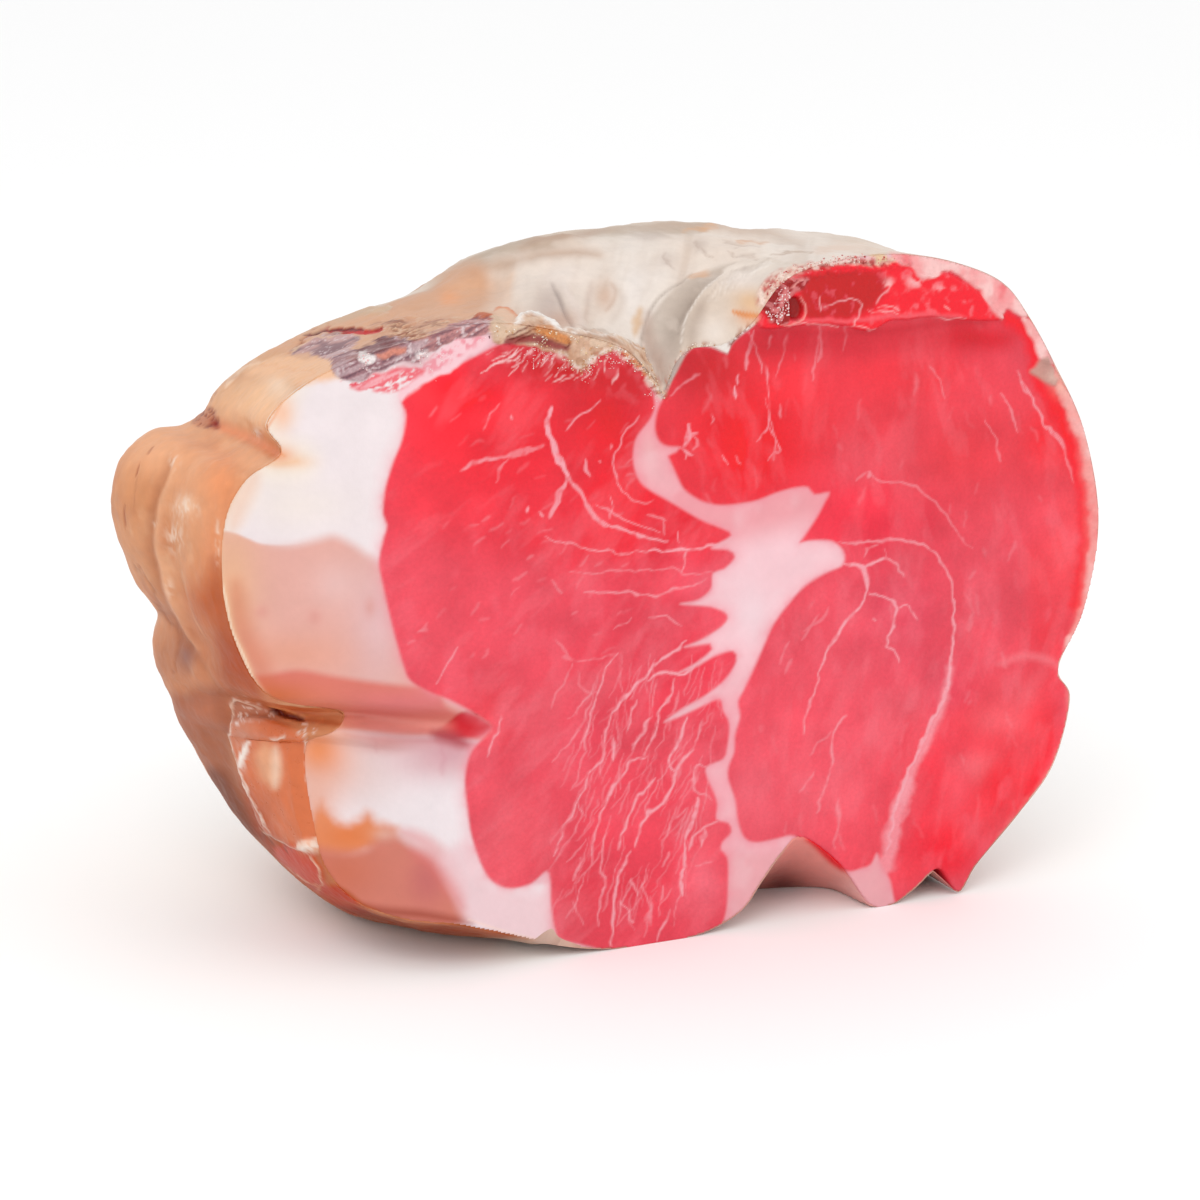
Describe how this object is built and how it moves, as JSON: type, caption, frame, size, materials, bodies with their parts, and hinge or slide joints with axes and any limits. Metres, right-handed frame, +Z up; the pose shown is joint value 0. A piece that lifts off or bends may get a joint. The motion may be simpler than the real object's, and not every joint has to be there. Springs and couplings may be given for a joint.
{
  "type": "culatello",
  "caption": "Cut half of a boned cured ham standing on its underside: two lean muscles held by a fat seam, a thick fat shoulder, rind at one side and dry casing over the top.",
  "frame": {"origin": "middle of the object's box, on the surface it stands on", "axes": "-Y out of the cut face, +X to the right along the cut, +Z up"},
  "size_m": [0.2218, 0.125, 0.1562],
  "materials": {
    "fat": "moist cured fat, satin, slightly see-through at its edges",
    "lean": "moist sliced lean meat, satin with fine fibres",
    "rind": "waxy tan rind",
    "casing": "dry papery casing, wrinkled"
  },
  "bodies": {
    "root": {"fat": "fat", "lean_left": "lean", "lean_right": "lean"}
  },
  "joints": []
}
